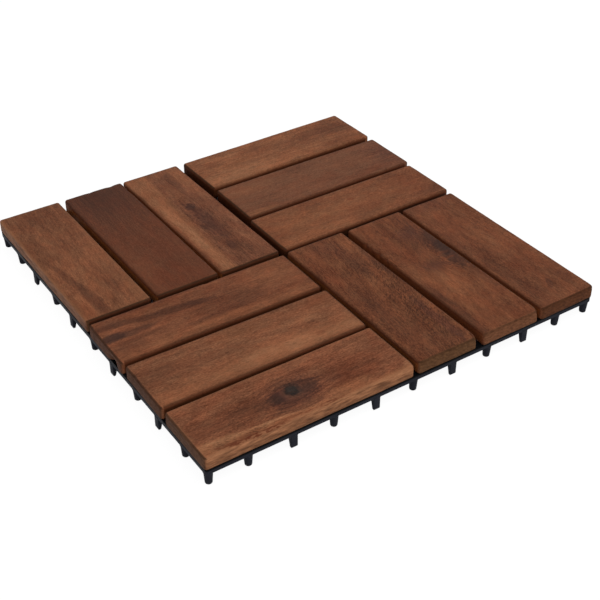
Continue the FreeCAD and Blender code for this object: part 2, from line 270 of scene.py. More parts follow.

# Each slat has a base tone and the contrast of its grain, and where it differs from the others the
# grain's turn, the share of its large figures, a ripple (turn and strength), knots and a speckle
# (place and reach), tones for its sides (partly painted light), ends and arrises (a painted highlight),
# how dark its seam is, and the tone and strength of the painted shade on its joint walls and their ends.
# zones are lighter or darker parts on one side of a gently curved line along the slat (middle, slope,
# curve, softness, side, tone, strength). patches and marks each have a place along and across the
# slat, a reach along and across, a turn in degrees, a tone and a strength; marks also cover the arris.
woodLooks = {
    "slat_front_1": {
        "base": (125, 77, 54), "contrast": 1.2,
        "side": ((158, 108, 76), 0.85), "end": (90, 64, 49), "arris": ("straw", 0.45), "worn": 0.35,
        "knots": [(-2, -2, 13, 9)], "speckle": (-44, -19.5, 36, 6, -4, 0.45),
        "zones": [(-19.0, -0.055, 0.0005, 1.3, -1, "honey", 0.75)],
        "patches": [
            (0, -15, 20, 6, 0, "cocoa", 0.35), (31, -15, 18, 6, 0, "amber", 0.35),
            (-62, -16, 18, 5, 0, "honey", 0.4), (-42, -16.4, 36, 1.6, -4.5, "straw", 0.7),
            (-52, -19.5, 24, 2.4, -3, "rust", 0.5), (-4, -3, 66, 19, 0, "cocoa", 0.6),
            (40, -6, 34, 17, 0, "rust", 0.5), (-64, -4, 34, 11, 0, "cocoa", 0.45),
            (43, -12, 9, 6, 0, "rust", 0.4), (-3, -3, 30, 17, 0, "plum", 0.85),
            (-2, -2, 20, 13, 0, "smoke", 0.75), (-13, -3, 9, 7, 15, "knot", 0.75),
            (9.5, -2, 9, 11, 0, "smoke", 0.6), (-10, -11, 13, 5, 20, "smoke", 0.5),
            (25, -5, 9, 4, 0, "smoke", 0.35), (2, 11, 22, 3, 6, "smoke", 0.25),
            (-7, -3, 7, 8, 0, "plum", 0.6), (-32, -2, 22, 8, 0, "cocoa", 0.45),
            (-60, -17, 24, 5, 0, "straw", 0.35), (32, -17, 22, 5, 0, "honey", 0.4),
            (-3.1, -3.3, 8.6, 7.9, 0, "ember", 0.6), (-1.8, -1.6, 8.6, 7.9, 10, "eye", 1.0),
            # the last patch is a painted glint of sheen at the middle of the knot's eye
            (-1.5, -1, 4.6, 3.8, 0, "glint", 0.2)],
        "marks": [
            (-38, -22.3, 27, 2.0, -1.5, "russet", 0.9), (-58, -20.6, 12, 1.6, -3, "russet", 0.6),
            (8, -22.2, 20, 1.4, 0, "russet", 0.7), (-12, -20.8, 14, 1.5, -2, "russet", 0.5),
            (72, -20, 4, 8, 0, "straw", 0.6)],
    },
    "slat_front_2": {
        "base": (127, 81, 57), "contrast": 1.05, "figure": 0.8, "end": (86, 58, 44), "seam": 0.5,
        "zones": [(-7.0, 0.0, -0.0006, 9.0, -1, "amber", 0.6)],
        "patches": [
            (-2, 15, 26, 12, 0, "amber", 0.4), (62, 15, 24, 12, 0, "amber", 0.35),
            (-31, 15, 18, 8, 0, "cocoa", 0.2), (-58, 7, 48, 24, 0, "cocoa", 0.4),
            (-20, 3, 40, 10, 1, "cocoa", 0.15), (46, -1, 4, 2, 0, "cocoa", 0.45),
            (44, -14, 5, 3, 0, "rust", 0.6), (66, 14, 18, 8, 0, "rust", 0.2),
            (14, -15, 60, 9, 0, "straw", 0.42), (62, -17, 20, 6, 0, "straw", 0.3),
            (62, 16, 24, 10, 0, "rust", 0.2)],
    },
    "slat_front_3": {
        "base": (119, 72, 50), "contrast": 1.05, "end": (90, 60, 46), "seam": 0.5,
        "zones": [(-14.0, 0.0, 0.0, 3.0, -1, "amber", 0.45)],
        "patches": [
            (-64, -14, 24, 9, 0, "cocoa", 0.3), (0, -17, 28, 5, 0, "amber", 0.5),
            (-31, 16, 22, 5, 0, "amber", 0.3), (-69, 2, 17, 5.5, 2, "knot", 0.85),
            (-52, 1, 20, 4, 2, "smoke", 0.6), (-66, 15, 16, 7, 0, "smoke", 0.35),
            (-40, 17, 20, 5, 0, "amber", 0.3), (-56, 13, 40, 3.6, -4, "cocoa", 0.6),
            (-20, 8, 36, 4.4, -4, "cocoa", 0.75), (-3, 7, 16, 3.6, -16, "smoke", 0.45),
            (22, -3, 42, 13, -8, "cocoa", 0.5), (10, -11, 40, 4, 3, "cocoa", 0.5),
            (58, 8, 34, 28, 0, "amber", 0.3), (-34, 20, 34, 6, 0, "rust", 0.3),
            (-52, -6, 26, 3, 4, "cocoa", 0.45)],
    },
    "slat_left_1": {
        "base": (120, 75, 52), "grain": -3.0, "contrast": 1.05, "ripple": (-34, 0.08),
        "side": ((138, 95, 68), 0.78), "nearSide": (-74, -30, 0.5), "arris": ("straw", 0.3), "worn": 0.35,
        "patches": [
            (-62, 17, 24, 7, 0, "honey", 0.55), (-62, 0, 20, 6, 0, "amber", 0.25),
            (-54, 9, 36, 5.6, 4, "cocoa", 0.65), (-24, 13, 30, 4, 7, "cocoa", 0.45),
            (-64, 18, 18, 7, 0, "rust", 0.4), (-62, -20, 34, 6, 0, "honey", 0.45),
            (-46, -9, 20, 4, 0, "cocoa", 0.35), (64, 2, 30, 34, 0, "cocoa", 0.4),
            (-2, -19, 20, 6, 0, "amber", 0.3), (-40, 0, 30, 5, 3, "amber", 0.3),
            (14, 0, 34, 8, 0, "cocoa", 0.25), (60, -20, 20, 5, 0, "cocoa", 0.35)],
    },
    "slat_left_2": {
        # the lighter tone of this slat's joint walls is painted light, where light reaches into the joints
        "base": (100, 58, 40), "contrast": 0.7, "figure": 0.6, "wallShading": ("litWall", 0.85),
        "patches": [
            (66, 0, 74, 50, 0, "smoke", 0.78), (-40, 17, 44, 10, 0, "amber", 0.15),
            (-66, 2, 30, 28, 0, "rust", 0.35)],
    },
    "slat_left_3": {
        "base": (120, 75, 54), "contrast": 1.1, "wallShading": ("litWall", 0.85),
        "knots": [(8, 0, 22, 6)],
        "zones": [(8.0, -0.04, 0.0, 2.4, 1, "honey", 0.6)],
        "patches": [
            (-64, -13, 26, 12, 0, "cocoa", 0.5), (62, -16, 28, 8, 0, "honey", 0.35),
            (34, 0, 18, 8, 0, "amber", 0.3), (-28, -3, 58, 15, 2, "cocoa", 0.6),
            (-10, -2, 40, 10, 0, "plum", 0.48), (-4, -4, 22, 6, 0, "smoke", 0.25),
            (12.5, -1.5, 6.5, 5.2, -30, "knot", 0.6), (-47, -0.5, 7.5, 3.8, 0, "knot", 0.5),
            (-17, 4, 6, 4, 0, "smoke", 0.3), (-20, 21.8, 66, 2.4, 0, "rust", 0.4),
            (-50, 19, 14, 6, 0, "rust", 0.4), (-10, 16, 60, 5, 0, "straw", 0.3),
            (50, -9, 30, 5, -4, "cocoa", 0.35), (46, -18, 40, 6, 0, "amber", 0.3),
            (-46, 17, 44, 6, 0, "straw", 0.3), (-62, 0, 20, 9, 0, "cocoa", 0.3)],
    },
    "slat_back_3": {
        "base": (123, 76, 52), "contrast": 1.1, "figure": 0.5,
        "ripple": (56, 0.07), "wallShading": ("deep", 0.75), "wallShadingEnd": "wallShading",
        "patches": [
            (-24, 1, 66, 11, 0, "honey", 0.25), (64, -16, 20, 8, 0, "cocoa", 0.3),
            (-40, -18, 56, 7, 0, "honey", 0.35), (-70, 2, 12, 34, 0, "rust", 0.3),
            (62, 0, 34, 34, 0, "rust", 0.45), (48, 18, 12, 4, 0, "cocoa", 0.4),
            (5, 7, 4, 2.4, 0, "rust", 0.6), (8, -10, 18, 8, 0, "rust", 0.25),
            (70, -16, 12, 12, 0, "cocoa", 0.35), (-28, 16, 20, 7, 0, "cocoa", 0.25),
            (-62, 0, 20, 8, 0, "amber", 0.3), (2, -18, 20, 6, 0, "cocoa", 0.25)],
    },
    "slat_back_2": {
        "base": (113, 72, 52), "contrast": 0.95, "figure": 0.5,
        "ripple": (56, 0.07), "wallShadingEnd": "wallShading",
        "patches": [
            (70, 0, 28, 40, 0, "plum", 0.5), (-4, 16, 26, 8, 0, "cocoa", 0.2),
            (-56, 12, 34, 13, 0, "amber", 0.3), (-64, -20, 22, 3.4, 0, "amber", 0.5),
            (36, -17, 30, 5, 0, "rust", 0.3), (8, -8, 14, 8, 0, "rust", 0.3)],
    },
    "slat_back_1": {
        "base": (129, 81, 56), "contrast": 1.2, "figure": 0.8,
        "ripple": (56, 0.09), "wallShadingEnd": "wallShading", "seam": 0.26,
        "zones": [(-8.0, 0.1, 0.0, 12.0, -1, "honey", 0.35)],
        "patches": [
            (-46, 2, 40, 9, 0, "honey", 0.4), (64, 0, 20, 9, 0, "cocoa", 0.3),
            (62, -16, 20, 6, 0, "amber", 0.4), (52, 7, 56, 19, -3, "cocoa", 0.6),
            (-57, 8, 9, 6, 0, "rust", 0.4), (22, 4, 22, 9, -6, "cocoa", 0.2),
            (56, -16, 30, 9, 0, "rust", 0.5), (-20, 10, 18, 9, 0, "rust", 0.25),
            (-46, 16, 24, 6, 0, "straw", 0.2), (-46, -13, 50, 13, 0, "straw", 0.45),
            (0, 16, 18, 6, 0, "amber", 0.4), (-50, 18, 30, 5, 0, "cocoa", 0.25),
            (62, -18, 22, 6, 0, "amber", 0.35)],
    },
    "slat_right_3": {
        "base": (107, 64, 43), "grain": -6.0, "contrast": 1.4, "end": (106, 73, 48),
        # the lighter tone of this slat's joint walls is painted light, where light reaches into the joints
        "ripple": (-34, 0.08), "speckle": (-20, -12, 100, 20, -3, 0.8), "wallShading": ("litWall", 0.6),
        "patches": [
            (62, 15, 22, 10, 0, "amber", 0.35), (-31, 0, 18, 7, 0, "amber", 0.25),
            (38, -8, 28, 9, 0, "smoke", 0.35), (62, 0, 20, 20, 0, "plum", 0.3),
            (-14, 10, 50, 10, -8, "cocoa", 0.5), (-44, -15, 38, 5, 0, "plum", 0.45),
            (-46, 6, 44, 18, 0, "cocoa", 0.35), (-62, -16, 10, 4, 0, "smoke", 0.4),
            (30, -20, 24, 3, 0, "smoke", 0.35), (6, -2, 20, 9, -10, "amber", 0.3),
            (44, 16, 34, 10, 0, "rust", 0.4), (62, -18, 22, 7, 0, "amber", 0.4),
            (-60, 10, 34, 13, 0, "cocoa", 0.2), (-64, -8, 20, 16, 0, "smoke", 0.25),
            (0, 15, 24, 8, 0, "cocoa", 0.3), (30, 15, 18, 8, 0, "rust", 0.25)],
    },
    "slat_right_2": {
        "base": (108, 64, 43), "grain": -3.0, "contrast": 1.2, "ripple": (-38, 0.08),
        "end": (124, 80, 55), "wallShading": ("litWall", 0.28),
        "knots": [(12, -18, 16, 12)],
        "patches": [
            (-2, 15, 20, 8, 0, "amber", 0.4), (62, 16, 24, 10, 0, "amber", 0.45),
            (-60, 1, 28, 8, 0, "amber", 0.55), (2, 1, 15, 11, 0, "cocoa", 0.8),
            (0, -16, 12, 7, 0, "smoke", 0.55), (62, -16, 20, 8, 0, "cocoa", 0.35),
            (-30, 5, 50, 13, -4, "amber", 0.6), (-56, 0, 34, 16, 0, "rust", 0.4),
            (-42, 21, 50, 5.5, 0, "cocoa", 0.7), (-20, -20, 40, 6, 0, "cocoa", 0.4),
            (32, -6, 46, 24, 10, "cocoa", 0.5), (36, -16, 34, 13, 6, "smoke", 0.5),
            (4, 2, 8, 17, -14, "plum", 0.35), (14, -21, 32, 13, 0, "smoke", 0.75),
            (1.5, -16, 6, 13, -12, "smoke", 0.45), (18, -20, 15, 8, -4, "knot", 0.7),
            (32, -21, 18, 6, 0, "knot", 0.45), (6.5, -14, 2.0, 7, -10, "rust", 0.35),
            (10.5, -12, 2, 7, -14, "smoke", 0.35), (13.5, -15, 2, 7, -20, "rust", 0.3),
            (46, -10, 12, 14, 20, "plum", 0.4), (28, 10, 30, 10, 0, "rust", 0.3),
            (62, 14, 26, 18, 0, "rust", 0.25)],
    },
    "slat_right_1": {
        "base": (110, 66, 45), "contrast": 1.2, "figure": 0.8,
        "ripple": (-34, 0.07), "wallShading": ("litWall", 0.5), "end": (95, 57, 36),
        "patches": [
            (-60, 13, 28, 12, 0, "cocoa", 0.35), (-30, 16, 40, 7, 0, "cocoa", 0.35),
            (12, 0, 34, 8, 0, "amber", 0.25), (-30, -15, 24, 6, 0, "amber", 0.4),
            (2, -16, 22, 6, 0, "amber", 0.4), (62, 8, 22, 14, 0, "amber", 0.25),
            (-54, -1, 8, 3, -25, "smoke", 0.5), (-28, -1, 16, 8, 0, "rust", 0.4),
            (-50, -15, 30, 6, 0, "cocoa", 0.4), (-2, 8, 18, 16, 0, "cocoa", 0.3),
            (18, 19, 20, 5, 0, "cocoa", 0.45), (-10, -14, 50, 8, 0, "rust", 0.35),
            (40, 8, 44, 13, -5, "rust", 0.35), (-66, -19, 9, 16, 0, "amber", 0.3),
            (68, 2, 14, 26, 0, "plum", 0.3)],
    },
}


def patchMask(flow, ragged, patch, deep=400):
    # one at the patch's middle, falling softly to nought at its reach; small patches are rounder
    # and crisper, large ones softer and more streaky at their borders
    u, v, reachU, reachV, turn, _, strength = patch
    inner = placed(flow, place=(u, v, 0), turn=turn, size=(reachU, reachV, deep))
    away = calc("MULTIPLY_ADD", ragged, min(1.0, reachV / 12), lengthOf(inner))
    core = min(0.55, max(0.0, 0.6 - reachV / 32))
    return rescale(away, core, 1.0, strength, 0.0)


def zoneMask(flow, ragged, zone):
    # one on the named side of the line v = middle + slope u + curve u squared, with a soft border
    middle, slope, curve, softness, side, _, strength = zone
    parts = apart(flow)
    line = calc("MULTIPLY_ADD", parts[0], calc("MULTIPLY_ADD", parts[0], curve, slope), middle)
    beyond = calc("MULTIPLY", calc("SUBTRACT", parts[1], line), side)
    beyond = calc("MULTIPLY_ADD", ragged, 2.0, beyond)
    return rescale(beyond, -softness, softness, 0.0, strength)


def bendRound(flow, knot):
    # the grain flows round a knot: across the grain, points near it are drawn to its middle
    u, v, reachU, reachV = knot
    inner = placed(flow, place=(u, v, 0), size=(reachU, reachV, 30))
    near = rescale(lengthOf(inner), 0.0, 2.2, 0.85, 0.0)
    across = vectorCalc("MULTIPLY", inner, (0.0, reachV, 0.0))
    return vectorCalc("SUBTRACT", flow, scaled(across, near))


def shaded(colour, share):
    # a colour given from 0 to 255, made linear, with each part multiplied by its share
    return tuple(np.minimum(np.array(linear(colour)[:3]) * share, 1.0)) + (1.0,)


def toned(mask, under, toneName):
    # one of the tones laid over a colour where the mask says
    return mixColour(mask, under, linear(tones[toneName]))


def woodNoise(place, key, seed, output=0):
    size, detail, rough, step = woodNoises[key]
    return noise(place, size, detail, rough, seed + step, output)


def wandered(place, key, seed, reach):
    # the place moved by a slow noise less a half, times its reach
    offset = vectorCalc("SUBTRACT", woodNoise(place, key, seed, output=1), (0.5, 0.5, 0.5))
    return vectorCalc("ADD", place, vectorCalc("MULTIPLY", offset, reach))


def growthRings(flow, seed):
    # half plus half the sine of the distance from the log's heart, which a slow noise bends
    heart = apart(placed(flow, place=woodFinish["heart"]))
    squares = [calc("MULTIPLY", heart[i], heart[i]) for i in (1, 2)]
    radius = calc("SQRT", calc("ADD", *squares))
    bend = calc("MULTIPLY", woodNoise(flow, "ringBend", seed), woodFinish["ringBend"])
    phase = calc("MULTIPLY", calc("ADD", radius, bend), woodFinish["ringTurns"])
    return calc("MULTIPLY_ADD", calc("SINE", phase), 0.5, 0.5)


def grainTone(flow, look, seed, figures, ring):
    # half plus contrast times the sum of each figure less a half, times its weight
    large = look.get("figure", 1.0)
    rows = [(figures[key], weight * (large if key in largeFigures else 1.0))
            for key, weight in figureWeights.items()]
    rows.append((ring, woodFinish["ringWeight"]))
    if "ripple" in look:
        # curly figure: shorter bands that cross the grain at an angle
        angle, strength = look["ripple"]
        crossing = placed(flow, turn=angle)
        rows.append((woodNoise(crossing, "ripple", seed), woodFinish["rippleWeight"] * strength))
    tone = 0.5
    for value, weight in rows:
        tone = calc("MULTIPLY_ADD", calc("SUBTRACT", value, 0.5), weight * look["contrast"],
                    tone)
    return tone


def grainColour(tone, base):
    # a ramp over the tone: a dark share of the base at 0.1, the base at 0.5 and a light share at 0.9
    ramp = addNode("ShaderNodeValToRGB", {0: tone})
    stops = ramp.color_ramp.elements
    stops[0].position = 0.1
    stops[0].color = shaded(base, woodFinish["darkest"])
    stops[1].position = 0.9
    stops[1].color = shaded(base, woodFinish["lightest"])
    stops.new(0.5).color = linear(base)
    return ramp.outputs[0]


def paintPatches(colour, look, spots, ragged, tone):
    # each zone's and patch's tone times a relief that keeps part of the grain's light and dark
    relief = rescale(tone, 0.1, 0.9, *woodFinish["relief"], soft=False)
    rows = [(zoneMask(spots, ragged, zone), zone[5]) for zone in look.get("zones", [])]
    rows += [(patchMask(spots, ragged, patch), patch[5]) for patch in look["patches"]]
    for mask, toneName in rows:
        colour = mixColour(mask, colour, scaled(linear(tones[toneName])[:3], relief))
    return colour


def paintHue(colour, local, seed):
    # the colour times a tint that wanders between a redder and a greener one
    hue = rescale(woodNoise(local, "hue", seed), 0.36, 0.64, 0.0, 1.0)
    tint = mixColour(hue, woodFinish["redder"], woodFinish["greener"])
    return mixColour(1.0, colour, tint, "MULTIPLY")


def poreMask(look, seed, flow, spots, ragged):
    # short dashes where a fine long noise is at its highest, and in a speckled part more, aslant
    pore = rescale(woodNoise(flow, "pore", seed), 0.62, 0.74, 0.0, woodFinish["poreShare"])
    if "speckle" not in look:
        return pore
    u, v, reachU, reachV, turn, strength = look["speckle"]
    zone = patchMask(spots, ragged, (u, v, reachU, reachV, turn, "", 1.0))
    dashes = woodNoise(placed(flow, turn=woodFinish["dashTurn"]), "dash", seed)
    speckle = calc("MULTIPLY", rescale(dashes, 0.48, 0.62, 0.0, strength), zone)
    return calc("MAXIMUM", pore, speckle)


def facing(tree, x, y):
    # how much the surface faces along a level direction, either way
    normal = addNode("ShaderNodeNewGeometry", tree=tree).outputs["Normal"]
    dot = addNode("ShaderNodeVectorMath", {0: normal, 1: (x, y, 0)}, operation="DOT_PRODUCT")
    return calc("ABSOLUTE", dot.outputs["Value"])


def paintSides(colour, look, seed, local, sideways):
    # on the long sides a lighter tone, partly the wood's own and partly painted light, times a mottle and a
    # painted shade darker towards the foot, with reddish flecks
    ownTone, share = look["side"]
    place = apart(local)
    mottle = rescale(woodNoise(local, "mottle", seed), 0.32, 0.68, *woodFinish["mottle"],
                     soft=False)
    # painted shade: the side darker towards its foot, lighter near the top
    mottle = calc("MULTIPLY", mottle, rescale(place[2], *woodFinish["sideShade"]))
    own = scaled(linear(ownTone)[:3], mottle)
    if "nearSide" in look:
        low, high, strength = look["nearSide"]
        own = toned(rescale(place[0], low, high, strength, 0.0), own, "cocoa")
    side = rescale(sideways, 0.5, 0.95, 0.0, share)
    flecks = rescale(woodNoise(local, "reddish", seed), 0.54, 0.66, 0.0,
                     woodFinish["sideFlecks"])
    return toned(calc("MULTIPLY", side, flecks), mixColour(side, colour, own), "rust")


def endColour(look, seed, local, ring):
    # the end grain's tone with the growth lines as darker arcs, times a coarse pepper
    own = look.get("end", tones["endGrain"])
    arcs = calc("MULTIPLY", ring, woodFinish["endRings"])
    own = mixColour(arcs, linear(own), shaded(own, woodFinish["ringShade"]))
    pepper = rescale(woodNoise(local, "pepper", seed), 0.3, 0.7, *woodFinish["pepper"],
                     soft=False)
    return scaled(own, pepper)


def paintArrises(tree, colour, look, seed, local, spots, ragged, endwise, endTone, inside):
    # at the outer ends toned like the end grain, elsewhere with the slat's painted highlight where it has
    # one, with worn stretches, broken marks, and a dark seam along the joints
    arris = addNode("ShaderNodeAttribute", tree=tree, attribute_name="arris").outputs["Fac"]
    atEnd = rescale(endwise, 0.12, 0.45, 0.0, 0.7)
    colour = mixColour(calc("MULTIPLY", arris, atEnd, clamp=True), colour, endTone)
    # a painted highlight along the arrises that catch the light
    if "arris" in look:
        toneName, share = look["arris"]
        along = calc("MULTIPLY_ADD", atEnd, -share, share)
        colour = toned(calc("MULTIPLY", arris, along, clamp=True), colour, toneName)
    worn = look.get("worn", woodFinish["worn"])
    wear = rescale(woodNoise(local, "wear", seed), 0.5, 0.72, 0.0, worn)
    colour = toned(calc("MULTIPLY", arris, wear), colour, "straw")
    edge = calc("MULTIPLY", calc("MULTIPLY", arris, atEnd), woodFinish["endArris"], clamp=True)
    colour = toned(edge, colour, "seam")
    for mark in look.get("marks", []):
        broken = rescale(woodNoise(local, "broken", seed), 0.42, 0.56, 0.25, 1.0)
        mask = patchMask(spots, ragged, mark, woodFinish["markDepth"])
        colour = toned(calc("MULTIPLY", broken, mask), colour, mark[5])
    dark = calc("MULTIPLY", arris, look.get("seam", woodFinish["seam"]))
    return toned(calc("MULTIPLY", inside, dark, clamp=True), colour, "seam")


def paintJointShade(colour, look, board, local, inside, end):
    # painted shade on the walls between the slats: warm just under the arris, where light still reaches,
    # and dark below it; a painted shadow line at the foot, darkest, all round
    level = apart(local)[2]
    low, high, share = woodFinish["wallWarm"]
    warm = calc("MULTIPLY", inside, rescale(level, low, high, share, 0.0))
    colour = toned(warm, colour, "russet")
    # below that the wall gets the painted shade of the joint, with a tone of its own on the end faces
    toneName, share = look.get("wallShading", woodFinish["wallShading"])
    own = toned(end, linear(tones[toneName]), look.get("wallShadingEnd", woodFinish["wallShadingEnd"]))
    wall = calc("MULTIPLY", inside, rescale(level, *woodFinish["wallDark"], share, 0.0))
    colour = mixColour(wall, colour, own)
    # a painted shadow line along the foot, where the slat sits on the rim
    low, high, share = woodFinish["foot"]
    underside = board["bottom"] - board["top"]
    return toned(rescale(level, underside + low, underside + high, share, 0.0), colour, "shadowLine")


def makeWood(name, board, look, seed):
    # the grain's colour, with patches, a wandering hue, pores, sides (partly painted light), ends, arrises
    # (with a painted highlight) and the joints' painted shade laid over it in that order; roughness follows
    # the fibres and the ends, bump the fibres and pores
    finish = woodFinish
    material, shader, place = newMaterial("wood_" + name[5:])
    tree = shader.id_data
    middle = (board["x"] * millimetre, board["y"] * millimetre, board["top"] * millimetre)
    local = placed(place, place=middle, turn=board["turn"], size=(millimetre,) * 3)
    flow = wandered(local, "sway", seed, finish["swayReach"])
    for knot in look.get("knots", []):
        flow = bendRound(flow, knot)
    flow = placed(flow, turn=look.get("grain", 0.0))
    figures = {key: woodNoise(flow, key, seed) for key in figureWeights}
    ring = growthRings(flow, seed)
    tone = grainTone(flow, look, seed, figures, ring)
    colour = grainColour(tone, look["base"])

    # borders of zones and patches follow the streaks and flecks
    ragged = calc("MULTIPLY", calc("SUBTRACT", figures["streak"], 0.5), finish["raggedStreak"])
    ragged = calc("MULTIPLY_ADD", calc("SUBTRACT", figures["fleck"], 0.5),
                  finish["raggedFleck"], ragged)
    spots = wandered(local, "drift", seed, finish["driftReach"])
    colour = paintPatches(colour, look, spots, ragged, tone)
    colour = paintHue(colour, local, seed)
    pore = poreMask(look, seed, flow, spots, ragged)
    colour = toned(pore, colour, "pore")

    turn = math.radians(board["turn"])
    if "side" in look:
        sideways = facing(tree, -math.sin(turn), math.cos(turn))
        colour = paintSides(colour, look, seed, local, sideways)
    endwise = facing(tree, math.cos(turn), math.sin(turn))
    end = rescale(endwise, 0.45, 0.9, 0.0, 0.9)
    endTone = endColour(look, seed, local, ring)
    colour = mixColour(end, colour, endTone)

    # inside the joints between slats: one where the point is well inside the tile's outline
    reach = apart(vectorCalc("ABSOLUTE", placed(place, size=(millimetre,) * 3)))
    inside = rescale(calc("MAXIMUM", reach[0], reach[1]), *finish["inside"], 1.0, 0.0)
    colour = paintArrises(tree, colour, look, seed, local, spots, ragged, endwise, endTone, inside)
    colour = paintJointShade(colour, look, board, local, inside, end)

    rough = calc("MULTIPLY_ADD", figures["fibre"], finish["fibreRough"], finish["rough"])
    rough = calc("MULTIPLY_ADD", end, finish["endRough"], rough)
    height = calc("MULTIPLY_ADD", pore, finish["poreDepth"],
                  calc("ADD", figures["fibre"], figures["streak"]))
    setShader(shader, colour=colour, rough=rough, specular=finish["specular"],
              normal=bumped(height, finish["bumpStrength"], finish["bumpDepth"]))
    return material


# Slats: rings round a rounded rectangle, carried up through the slat's edge profile

slatShape = {
    "cornerRadius": 2.0, "arrisRadius": 1.6, "bottomRadius": 1.1, "spacing": 1.15,
    "topRings": 9, "arrisSteps": 7, "bottomSteps": 4, "edgeWave": 0.07, "topWave": 0.06,
}

# dents: along, across, height against the top, reach and depth, all in millimetres
slatDents = {
    "slat_front_1": [(73.6, -22, -0.4, 1.6, 0.35), (-22, -23.2, -0.8, 2.2, 0.2)],
    "slat_front_2": [(-73.6, 12, -0.6, 2.0, 0.4)],
    "slat_front_3": [(-73.8, -11, -8.9, 4.2, 2.6), (-73.6, 20, -0.6, 1.8, 0.5), (12, 23.1, -0.6, 2.4, 0.3)],
    "slat_left_2": [(73.8, -14, -0.6, 2.6, 0.4), (73.8, 3, -0.5, 1.8, 0.25), (60, -23.2, -0.7, 2.2, 0.4)],
    "slat_left_3": [(-73.6, 21, -0.6, 1.8, 0.4)],
    "slat_right_2": [
        (52, 23.2, -0.6, 1.7, 0.9), (46, 23.2, -0.4, 1.4, 0.6), (37, 23.2, -0.7, 1.9, 1.1),
        (29, 23.2, -0.5, 1.5, 0.8), (22, 23.2, -0.6, 1.6, 0.7), (18, 23.2, -0.4, 1.2, 0.6),
        (-73.4, -22.8, -1.4, 3.0, 0.9)],
    "slat_right_3": [(-73.5, -22.9, -1.2, 2.8, 0.8), (-73.6, 23.0, -1.0, 2.2, 0.5)],
    "slat_right_1": [(-73.6, -21.4, -0.4, 2.2, 0.5)],
    "slat_back_3": [(-73.6, -20.4, -0.5, 2.0, 0.4)],
}


def findBoard(name):
    # the tightest upright rectangle round the CAD slat's corners, over small turns
    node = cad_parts[name]
    count = len(node.data.vertices)
    flat = np.empty(count * 3)
    node.data.vertices.foreach_get("co", flat)
    points = flat.reshape(-1, 3) / millimetre
    quarter = 90.0 if np.ptp(points[:, 1]) > np.ptp(points[:, 0]) else 0.0
    turns = np.radians(quarter + np.arange(-200, 201) * 0.01)
    along = np.outer(np.cos(turns), points[:, 0]) + np.outer(np.sin(turns), points[:, 1])
    across = -np.outer(np.sin(turns), points[:, 0]) + np.outer(np.cos(turns), points[:, 1])
    best = np.argmin(np.ptp(along, axis=1) * np.ptp(across, axis=1))
    u = (along[best].max() + along[best].min()) / 2
    v = (across[best].max() + across[best].min()) / 2
    turn = turns[best]
    return {
        "x": u * math.cos(turn) - v * math.sin(turn), "y": u * math.sin(turn) + v * math.cos(turn),
        "turn": math.degrees(turn), "halfLength": np.ptp(along[best]) / 2,
        "halfWidth": np.ptp(across[best]) / 2, "bottom": points[:, 2].min(), "top": points[:, 2].max(),
    }


def outlineDirections(halfLength, halfWidth, spacing):
    # the upper half of the outline from end to end, then its mirror image: the place on the core
    # rectangle (from -1 to 1 each way) and the outward direction of each point
    endSteps = np.linspace(0, 1, int(halfWidth / spacing))[:-1]
    sideSteps = np.linspace(1, -1, int(2 * halfLength / spacing))[1:-1]
    arc = np.linspace(0, math.pi / 2, 7)
    one = np.ones
    core = np.concatenate([
        np.stack([one(len(endSteps)), endSteps], axis=1), one((len(arc), 2)),
        np.stack([sideSteps, one(len(sideSteps))], axis=1), one((len(arc), 2)) * (-1, 1),
        np.stack([-one(len(endSteps)), endSteps[::-1]], axis=1)])
    out = np.concatenate([
        one((len(endSteps), 2)) * (1, 0), np.stack([np.cos(arc), np.sin(arc)], axis=1),
        one((len(sideSteps), 2)) * (0, 1), np.stack([-np.sin(arc), np.cos(arc)], axis=1),
        one((len(endSteps), 2)) * (-1, 0)])
    mirror = (1, -1)
    return (np.concatenate([core, core[-2:0:-1] * mirror]),
            np.concatenate([out, out[-2:0:-1] * mirror]))


def smoothWave(places, random, waves=6, longest=60.0):
    # a gentle wave: a sum of sines of random phase, each shorter and lower than the last
    total = np.zeros(places.shape[:-1])
    for k in range(1, waves + 1):
        angle = random.uniform(0, 2 * math.pi)
        along = places[..., 0] * math.cos(angle) + places[..., 1] * math.sin(angle)
        total += np.sin(along * 2 * math.pi * k / longest + random.uniform(0, 2 * math.pi)) / k
    return total


